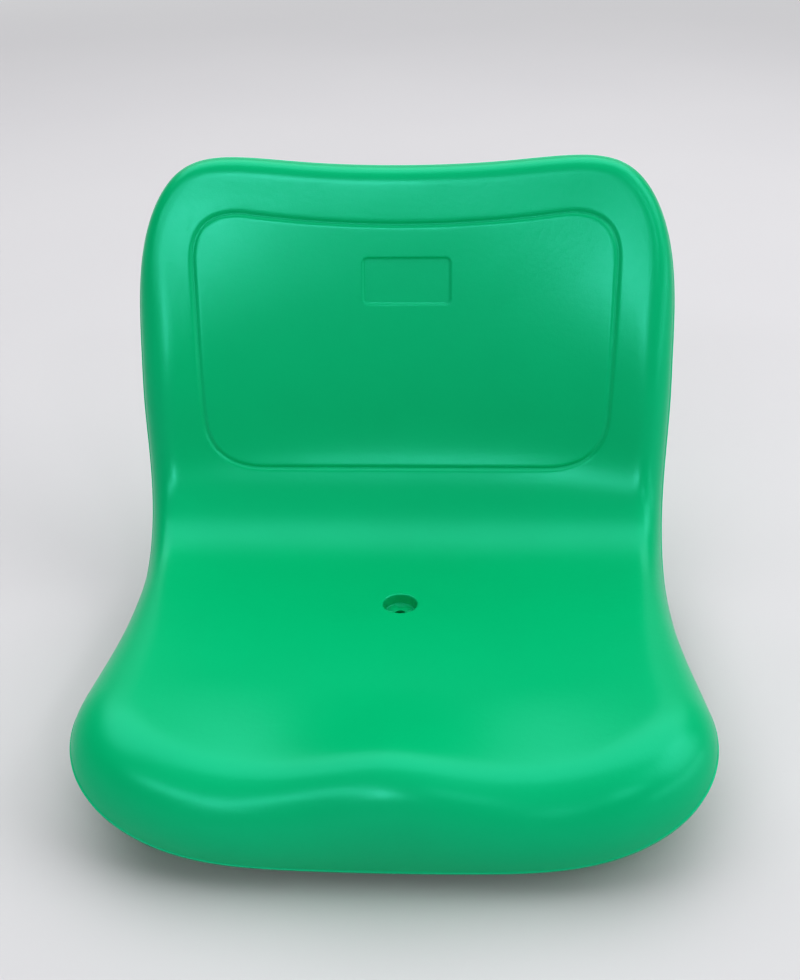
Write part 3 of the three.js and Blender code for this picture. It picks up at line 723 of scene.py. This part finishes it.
# Underside of the foot: pads, channels, the pocket for the bolt, and the openings for the nuts and
# for the plug
bolt_hole, pocket_radius, pocket_corner, pocket_edge, pocket_draft = 4.25, 22, 4, 2, 0.5
counterbore_depth, bolt_web = 10, 5
well_floor = bolt_place[2] - counterbore_depth
pocket_top = well_floor - bolt_web
pocket_rings = [(7.5, 36), (12, 48), (16, 64), (18, 96), (19.2, 112), (20.4, 128), (21.3, 144), (21.8, 144),
                (22, 144), (22.5, 144), (22.7, 144), (23.2, 144), (23.8, 144), (24.5, 144), (25.5, 144)]
pocket_clear = 25.9
pad_reach, pad_spacing, pad_clearance = 150, 4.5, 0.7
plan_spacing, plan_clearance = 6.0, 3.2
nut_across, nut_ahead, nut_behind, plug_ahead = 0.625, 0.467, 0.73, 0.5
socket_radius, socket_step, socket_flange, socket_top = 7.3, 13.0, 9.3, 15.6
plug_hole_radius, plug_step, plug_bore, plug_top = 10.3, 2.6, 6.3, 9.6
bolt_lip, hole_lip, socket_surround = 0.4, 0.5, 3

bolt_at = bolt_place[:2]
half_foot = foot_half_width * (1 - foot_draft)
front_run = bolt_at[1] - channel_half - laid_points([(0, foot_front, 0)])[0][1]
rear_run = laid_points([(0, foot_rear, 0)])[0][1] - bolt_at[1] - channel_half
nut_x = channel_half + (half_foot - channel_half) * nut_across
nut_front_y = bolt_at[1] - channel_half - front_run * nut_ahead
nut_rear_y = bolt_at[1] + channel_half + rear_run * nut_behind
nut_places = [(side * nut_x, y) for y in (nut_front_y, nut_rear_y) for side in (-1, 1)]
plug_y = bolt_at[1] - channel_half - front_run * plug_ahead


def underside_height(x, y):
    level = channel_height(x, y)
    r = np.hypot(x - bolt_at[0], y - bolt_at[1])
    side = pocket_radius + pocket_draft
    lip = np.sqrt(np.maximum(pocket_edge**2 - np.clip(side + pocket_edge - r, 0, pocket_edge) ** 2, 0))
    low = level + pocket_edge - lip
    past = np.clip(r - (pocket_radius - pocket_corner), 0, pocket_corner)
    dome = pocket_top - pocket_corner + np.sqrt(np.maximum(pocket_corner**2 - past**2, 0))
    drop = level + pocket_edge - pocket_top + pocket_corner
    wall = pocket_top - pocket_corner + (r - pocket_radius) / pocket_draft * drop
    return np.where(r >= side, low, np.where(r >= pocket_radius, wall, dome))


plan_border = inner[:, :2]
plan_holes = [circle(bolt_hole + bolt_lip, 36, bolt_at)]
plan_holes += [circle(socket_radius + hole_lip, 40, place) for place in nut_places]
plan_holes.append(circle(plug_hole_radius + hole_lip, 48, (0, plug_y)))
pad_lines = []
bend = channel_half + pad_edge + pad_corner
run = np.arange(bend, pad_reach, pad_spacing)
turn = np.radians(np.linspace(0, 90, 7))[1:-1]
for d in pad_steps:
    beside = 0 * run + channel_half + pad_edge - d
    arc = bend - np.column_stack([np.cos(turn), np.sin(turn)]) * (pad_corner + d)
    pad_line = np.vstack([np.column_stack([beside, run]), np.column_stack([run, beside]), arc])
    pad_lines += [pad_line * (sx, sy) + bolt_at for sx in (-1, 1) for sy in (-1, 1)]
run = np.arange(channel_half * 2, pad_reach, pad_spacing)
for side in (-1, 1):
    cross = np.column_stack([0 * run, run * side])
    pad_lines += [cross + bolt_at, cross[:, ::-1] + bolt_at]
pad_points = np.vstack(pad_lines)
pad_points = pad_points[inside(pad_points, plan_border)]
for hole in plan_holes[1:]:
    pad_points = pad_points[~inside(pad_points, hole)]
pad_points = pad_points[np.hypot(*(pad_points - bolt_at).T) > pocket_clear]
pad_points = apart_from(pad_points, np.vstack([plan_border, *plan_holes]), pad_clearance)
plan_lines = [circle(socket_radius + socket_surround, 32, place) for place in nut_places]
plan_lines += [circle(radius, count, bolt_at) for radius, count in pocket_rings] + [pad_points]
plan_points, plan_triangles = fill(plan_border, plan_holes, plan_lines, plan_spacing, plan_clearance)
plan_height = underside_height(*plan_points.T)
plan_height[:column_count] = floor_level
start = column_count
hole_ranges = []
for hole, level in zip(plan_holes, [pocket_top, 0, 0, 0, 0, channel_depth]):
    hole_ranges.append(slice(start, start + len(hole)))
    plan_height[hole_ranges[-1]] = level
    start += len(hole)
plan_ids = add_region(plan_points, plan_height, plan_triangles, previous, flip=True)
bolt_ids, *nut_ids, plug_ids = (plan_ids[span] for span in hole_ranges)


def level_ring(radius, height, count, middle=(0.0, 0.0)):
    return np.column_stack([circle(radius, count, middle), np.full(count, float(height))])


def sink(ids, middle, level, radius, step, inner_radius, top):
    """A closed round hole up from a ring in the underside, with a soft lip and a step on its way"""
    steps = [(radius + 0.15, 0.12), (radius, 0.5), (radius, step), (inner_radius, step), (inner_radius, top)]
    for r, rise in steps:
        ids = grow(ids, level_ring(r, level + rise, len(ids), middle), flip=True)
    skin_faces.append(tuple(int(i) for i in ids[::-1]))


for ids, place in zip(nut_ids, nut_places):
    sink(ids, place, 0, socket_radius, socket_step, socket_flange, socket_top)
sink(plug_ids, (0, plug_y), channel_depth, plug_hole_radius, plug_step, plug_bore, plug_top)

# Bolt well: the skin rolls over a soft lip into a round well whose floor has four pressed flutes
# round the bolt's hole, so that the washer bites and rain runs to the hole
well_radius, well_lip, well_foot = 12.5, 2.2, 1.2
drain_count, drain_cut, drain_inner, drain_outer, drain_fade = 4, 1.1, 4.9, 11.2, 1.2
tilt = line_slope(bolt_station)
lean = np.array([[1, 0, 0], [0, math.cos(tilt), -math.sin(tilt)], [0, math.sin(tilt), math.cos(tilt)]])
turn = np.arange(well_columns) * 2 * math.pi / well_columns
spoke = np.column_stack([np.cos(turn), np.sin(turn), 0 * turn])
up = np.array([0, 0, 1.0])
previous = front_ids[ring_size:ring_size + well_columns]
for degrees in (0, 15, 30, 45, 60, 75, 90):
    a = math.radians(degrees)
    ring = spoke * (well_radius + well_lip * (1 - math.sin(a))) - up * well_lip * (1 - math.cos(a))
    leaning = ring @ lean.T
    previous = grow(previous, bolt_place + leaning + (ring - leaning) * (degrees / 90))
well_rings = [(well_radius, 5), (well_radius, 7), (well_radius, counterbore_depth - well_foot),
              (well_radius - 0.06, counterbore_depth - 0.7 * well_foot),
              (well_radius - 0.35, counterbore_depth - 0.3 * well_foot),
              (well_radius - well_foot, counterbore_depth)]
drain_wave = (0.5 - 0.5 * np.cos(drain_count * (turn + math.pi / drain_count))) ** 2
for radius in (11.0, 10.4, 9.6, 8.6, 7.6, 6.6, 6.0, 5.4, drain_inner):
    share = smooth_step((radius - drain_inner) / drain_fade)
    share = share * smooth_step((drain_outer - radius) / drain_fade)
    well_rings.append((radius, (counterbore_depth + drain_cut * drain_wave * share)[:, None]))
well_rings += [(bolt_hole + 0.12, counterbore_depth + 0.1), (bolt_hole, counterbore_depth + 0.5),
               (bolt_hole, counterbore_depth + bolt_web - 0.5)]
for radius, depth in well_rings:
    previous = grow(previous, bolt_place + spoke * radius - up * depth)
# The hole's lower ring has every fourth column of the well
stride = well_columns // len(bolt_ids)
for k in range(len(bolt_ids)):
    fan = [int(previous[(k * stride + j) % well_columns]) for j in range(stride + 1)]
    skin_faces.append(tuple(fan + [int(bolt_ids[(k + 1) % len(bolt_ids)]), int(bolt_ids[k])]))

seat_mesh = mesh_of("seat_moulding", np.vstack(skin_points), skin_faces)
# The bead share marks the bead for its smoother finish and for its painted highlight tone.
bead_highlight_and_polish_values = np.zeros(len(seat_mesh.vertices), np.float32)
for k, rise in enumerate(bead_rises, rim_steps):
    bead_highlight_and_polish_values[k * ring_size:(k + 1) * ring_size] = rise / max(bead_rises)
seat_mesh.attributes.new("bead", "FLOAT", "POINT").data.foreach_set("value", bead_highlight_and_polish_values)
seat_mesh.materials.append(moulded_hdpe)
seat_mesh.validate()
seat_mesh.shade_smooth()
seat_mesh.set_sharp_from_angle(angle=math.radians(58))
seat_moulding = put_in_scene("seat_moulding", seat_mesh)
bpy.data.objects.remove(middle_line)
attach(seat_moulding, "root")
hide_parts("seat_shell")


# Nuts moulded into the foot
# Four blind M8 nuts of zinc-plated free-cutting steel, turned and knurled. They are laid in the
# mould, and the hot plastic closes round the knurl and over the flange.

nut_radius, nut_flange_radius, nut_bore, nut_bore_depth = 7.0, 9.0, 3.4, 12.0
nut_bottom, nut_step, nut_top = 0.3, 13.3, 15.3
knurl_count, knurl_rise, knurl_width = 36, 0.35, 0.55
thread_pitch, thread_rise, thread_turns = 1.25, 0.55, 7.0
turned_sides = 72
zinc_pale, zinc_dark, smooth_zinc, dull_zinc = "b4b8bb", "9a9da3", 0.28, 0.42
blotch_size, tool_feed, tool_mark, fine_bump = 3, 0.18, 0.02, 0.25

zinc_steel, tree, where = new_finish("zinc_plated_turned_steel")
blotch = noise(tree, where, blotch_size, 3.0)
turning = add_node(tree, "ShaderNodeAttribute", attribute_name="turned").outputs["Fac"]
marks = calc(tree, "SINE", calc(tree, "MULTIPLY", turning, 2 * math.pi / tool_feed))
steel = add_node(tree, "ShaderNodeBsdfPrincipled", {
    "Base Color": two_tones(tree, blotch, zinc_pale, zinc_dark), "Metallic": 1.0,
    "Roughness": remap(tree, blotch, patch_low, patch_high, smooth_zinc, dull_zinc),
    "Normal": bump(tree, marks, fine_bump, tool_mark)})
add_node(tree, "ShaderNodeOutputMaterial", {0: steel})


def turned_mesh(name, profile):
    """A body turned on the z axis from rings of radius and height, from one end of the axis to the other"""
    sides = turned_sides
    rings = [level_ring(radius, height, sides) for radius, height in profile[1:-1]]
    verts = np.vstack([[(0, 0, profile[0][1])], *rings, [(0, 0, profile[-1][1])]])
    faces = []
    for i in range(sides):
        j = (i + 1) % sides
        faces.append((0, 1 + j, 1 + i))
        for k in range(len(rings) - 1):
            a, b = 1 + k * sides, 1 + (k + 1) * sides
            faces.append((a + i, a + j, b + j, b + i))
        a = 1 + (len(rings) - 1) * sides
        faces.append((a + i, a + j, len(verts) - 1))
    return mesh_of(name, verts, faces)


# Knurls stand round the nut and a thread runs up its bore, both from one Geometry Nodes tree
rib_sizes = ["Knurl radius", "Knurl low", "Knurl high", "Knurl width", "Thread radius", "Thread rise",
             "Thread turns", "Thread height", "Thread start"]
tree, rib_sockets, given = open_tree("knurl_and_thread", {
    "Body": "Geometry", "Knurl count": "Int", **dict.fromkeys(rib_sizes, "Float"),
    "Finish": "Material"}, "Nut")
ribbing = tree
stand = add_node(tree, "GeometryNodeMeshCircle", {
    "Vertices": given["Knurl count"], "Radius": given["Knurl radius"]})
span = calc(tree, "SUBTRACT", given["Knurl high"], given["Knurl low"])
middle = calc(tree, "MULTIPLY", calc(tree, "ADD", given["Knurl high"], given["Knurl low"]), 0.5)
ridge = add_node(tree, "GeometryNodeMeshCylinder", {
    "Vertices": 6, "Side Segments": 1, "Radius": given["Knurl width"], "Depth": span})
raise_by = add_node(tree, "ShaderNodeCombineXYZ", {2: middle})
ridges = add_node(tree, "GeometryNodeInstanceOnPoints", {"Points": stand, "Instance": ridge})
ridges = add_node(tree, "GeometryNodeTranslateInstances", {"Instances": ridges, "Translation": raise_by})
helix = add_node(tree, "GeometryNodeCurveSpiral", {
    "Resolution": 32, "Rotations": given["Thread turns"], "Start Radius": given["Thread radius"],
    "End Radius": given["Thread radius"], "Height": given["Thread height"]})
tooth = add_node(tree, "GeometryNodeCurvePrimitiveCircle", {"Resolution": 4, "Radius": given["Thread rise"]})
thread = add_node(tree, "GeometryNodeCurveToMesh", {
    "Curve": helix, "Profile Curve": tooth, "Fill Caps": True})
begin = add_node(tree, "ShaderNodeCombineXYZ", {2: given["Thread start"]})
thread = add_node(tree, "GeometryNodeTransform", {"Geometry": thread, "Translation": begin})
joined = add_node(tree, "GeometryNodeJoinGeometry")
for part in (thread.outputs[0], ridges.outputs[0], given["Body"]):
    tree.links.new(part, joined.inputs[0])
close_tree(tree, joined, given["Finish"])

bore_end, knurl_foot = nut_bottom + nut_bore_depth, nut_radius - knurl_rise
nut_profile = [
    (0, bore_end), (1.6, bore_end), (nut_bore, bore_end - 1.2), (nut_bore, nut_bottom + 1.0),
    (nut_bore + 0.12, nut_bottom + 0.75), (nut_bore + 0.75, nut_bottom + 0.1), (nut_bore + 0.95, nut_bottom),
    (nut_radius - 0.75, nut_bottom), (nut_radius - 0.55, nut_bottom + 0.06), (knurl_foot, nut_bottom + 0.5),
    (knurl_foot, 4.0), (nut_radius - 0.9, 4.4), (nut_radius - 0.9, 5.2), (knurl_foot, 5.6),
    (knurl_foot, nut_step - 0.8), (nut_radius - 0.6, nut_step - 0.3), (nut_radius - 0.3, nut_step),
    (nut_flange_radius - 0.3, nut_step), (nut_flange_radius, nut_step + 0.3),
    (nut_flange_radius, nut_top - 0.3), (nut_flange_radius - 0.3, nut_top), (0, nut_top)]
nut_settings = {
    "Knurl count": knurl_count, "Knurl radius": (nut_radius - knurl_width) * mm, "Knurl low": 6.0 * mm,
    "Knurl high": (nut_step - 0.9) * mm, "Knurl width": knurl_width * mm,
    "Thread radius": (nut_bore + 0.12) * mm, "Thread rise": thread_rise * mm, "Thread turns": thread_turns,
    "Thread height": thread_turns * thread_pitch * mm, "Thread start": (nut_bottom + 1.3) * mm,
    "Finish": zinc_steel}
nut_names = [f"insert_nut_{end}_{side}" for end in ("front", "rear") for side in ("left", "right")]
for name, (x, y) in zip(nut_names, nut_places):
    nut_mesh = run_through(ribbing, rib_sockets, turned_mesh("nut_body", nut_profile), nut_settings)
    places = vertex_places(nut_mesh)
    radius = (np.hypot(places[:, 0], places[:, 1]) / mm).astype(np.float32)
    nut_mesh.attributes.new("turned", "FLOAT", "POINT").data.foreach_set("value", radius)
    nut_mesh.vertices.foreach_set("co", (places + [x * mm, y * mm, 0]).ravel())
    nut_mesh.shade_smooth()
    nut_mesh.set_sharp_from_angle(angle=math.radians(30))
    nut = put_in_scene("turned_" + name, nut_mesh)
    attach(nut, "root")
    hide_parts(name)


# Plug of the blowing hole
# A push-in plug of low-density polyethylene, injection moulded. Three barbs on its stem hold it in
# the roof of the front channel, and it is pressed home at a shallow round dimple in its head.

plug_head, plug_head_height, plug_stem_length = 10.0, 2.0, 9.0
plug_base = channel_depth + nut_bottom
barb_count, barb_pitch = 3, 1.7
plug_green, plug_green_deep, smooth_plug, dull_plug = "06a065", "069059", 0.36, 0.44
flow_size, spark_size, spark_depth = 2.5, 0.3, 0.03
plug_ldpe, tree, where = new_finish("injection_moulded_ldpe_green")
flow = noise(tree, where, flow_size, 2.0)
soft = add_node(tree, "ShaderNodeBsdfPrincipled", {
    "Base Color": two_tones(tree, flow, plug_green, plug_green_deep), "IOR": 1.51,
    "Roughness": remap(tree, flow, patch_low, patch_high, smooth_plug, dull_plug),
    "Normal": bump(tree, noise(tree, where, spark_size, 2.0), fine_bump, spark_depth)})
add_node(tree, "ShaderNodeOutputMaterial", {0: soft})

plug_profile = [
    (0, 0.5), (0.6, 0.5), (1.4, 0.45), (1.8, 0.1), (2.1, 0), (5, 0), (8.6, 0), (9.5, 0.12), (9.9, 0.45),
    (plug_head, 0.9), (plug_head, plug_head_height - 0.3), (plug_head - 0.3, plug_head_height),
    (5.9, plug_head_height), (5.6, 2.3)]
for barb in range(barb_count):
    low = 3.2 + barb * barb_pitch
    plug_profile += [(5.55, low - 0.5), (5.95, low), (5.95, low + 0.25), (5.55, low + 0.9)]
plug_profile += [(5.5, plug_stem_length - 0.9), (5.1, plug_stem_length - 0.2), (4.7, plug_stem_length),
                 (0, plug_stem_length)]
plug_mesh = turned_mesh("blow_hole_plug", plug_profile)
plug_places = vertex_places(plug_mesh) + np.array([0, plug_y, plug_base]) * mm
plug_mesh.vertices.foreach_set("co", plug_places.ravel())
plug_mesh.materials.append(plug_ldpe)
plug_mesh.shade_smooth()
plug_mesh.set_sharp_from_angle(angle=math.radians(35))
plug = put_in_scene("pressed_blow_hole_plug", plug_mesh)
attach(plug, "root")
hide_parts("blow_hole_plug")


# Floor
# A plain pale floor on which the foot stands. It isn't part of the object. Far from the seat it fades
# into the pale air, so that no edge shows from the side.

floor_half, haze_start, haze_end = 6000, 1.8, 4.6
pale_air, air_strength = "e2e2e4", 0.64
floor_paint, tree, where = new_finish("pale_floor")
cloud = add_node(tree, "ShaderNodeTexNoise", {"Vector": where, "Scale": 1.3, "Detail": 2.0})
sheen = add_node(tree, "ShaderNodeBsdfPrincipled", {
    "Base Color": two_tones(tree, cloud, "d0cfd1", "cac9cc"), "Roughness": 0.5})
distance = calc(tree, "LENGTH", where, on="VectorMath").outputs["Value"]
far = remap(tree, distance, haze_start, haze_end, interpolation_type="SMOOTHSTEP")
haze = add_node(tree, "ShaderNodeEmission", {"Color": srgb(pale_air), "Strength": air_strength})
faded = add_node(tree, "ShaderNodeMixShader", {0: far, 1: sheen, 2: haze})
add_node(tree, "ShaderNodeOutputMaterial", {0: faded})
corners = np.array([(-1, -1, 0), (1, -1, 0), (1, 1, 0), (-1, 1, 0)]) * floor_half
floor_mesh = mesh_of("floor", corners, [(0, 1, 2, 3)])
floor_mesh.materials.append(floor_paint)
floor = put_in_scene("floor", floor_mesh)


# Light
# Three soft ceiling panels, in front, overhead and behind, do most of it. Two small lamps and a strip
# in front draw the highlights on the nose, and a high and a low window light the right side. The air
# is pale low down and grows darker above.

middle_air, upper_air = "bdbdbf", "585859"
middle_sine, upper_sine = 0.13, 0.42
world = bpy.data.worlds.new("pale_room")
bpy.context.scene.world = world
world.use_nodes = True
tree = world.node_tree
tree.nodes.clear()
sky = add_node(tree, "ShaderNodeTexCoord").outputs["Generated"]
height = add_node(tree, "ShaderNodeSeparateXYZ", {0: sky}).outputs["Z"]
tone = two_tones(tree, remap(tree, height, 0.0, middle_sine), pale_air, middle_air)
tone = two_tones(tree, remap(tree, height, middle_sine, upper_sine), tone, upper_air)
air = add_node(tree, "ShaderNodeBackground", {"Color": tone, "Strength": air_strength})
add_node(tree, "ShaderNodeOutputWorld", {0: air})


def soft_light(name, place, aim, width, depth, power):
    data = bpy.data.lights.new(name, "AREA")
    data.shape = "RECTANGLE"
    data.size, data.size_y, data.energy = width, depth, power
    light = put_in_scene(name, data)
    light.location = place
    light.rotation_euler = (Vector(aim) - Vector(place)).to_track_quat("-Z", "Y").to_euler()


soft_light("front_ceiling", (0, -1.5, 3.0), (0, -1.5, 0), 7.0, 2.6, 13)
soft_light("overhead", (0, 1.2, 3.0), (0, 1.2, 0), 6.0, 3.6, 101)
soft_light("rear_ceiling", (0, 4.6, 3.0), (0, 4.6, 0), 8.0, 3.2, 50)
soft_light("room_lamp", (-0.33, -3.73, 2.06), (0, 0, 0.15), 0.5, 0.14, 18)
soft_light("left_strip", (-1.35, -2.45, 2.1), (-0.1, -0.2, 0.07), 2.0, 0.1, 12)
soft_light("second_lamp", (1.85, -2.85, 2.62), (0, 0, 0.15), 0.5, 0.16, 6)
soft_light("right_window", (3.14, -0.28, 2.61), (0, 0, 0.15), 2.6, 2.0, 27)
soft_light("low_window", (2.5, -0.9, 0.7), (0.18, -0.17, 0.07), 2.4, 0.2, 4.5)
bpy.context.scene.view_settings.view_transform = "Standard"
bpy.context.scene.view_settings.look = "High Contrast"


# Camera
# It stands where the photograph was taken from, found by fitting the seat's outline and groove.

camera_place = Vector((0.0365, -0.688, 0.5689))
yaw, pitch, roll = (math.radians(a) for a in (-2.89, 30.81, 1.17))
focal_pixels, frame_height, sensor = 1142.8, 980, 36
forward = Vector((math.sin(yaw) * math.cos(pitch), math.cos(yaw) * math.cos(pitch), -math.sin(pitch)))
right = Vector((math.cos(yaw), -math.sin(yaw), 0))
down = forward.cross(right)
right, down = right * math.cos(roll) + down * math.sin(roll), down * math.cos(roll) - right * math.sin(roll)
turned = Matrix((right, -down, -forward)).transposed()
camera_data = bpy.data.cameras.new("camera")
camera_data.sensor_width = sensor
camera_data.lens = focal_pixels * sensor / frame_height
camera_data.clip_start = 0.02
camera = put_in_scene("camera", camera_data)
camera.matrix_world = Matrix.Translation(camera_place) @ turned.to_4x4()
bpy.context.scene.camera = camera
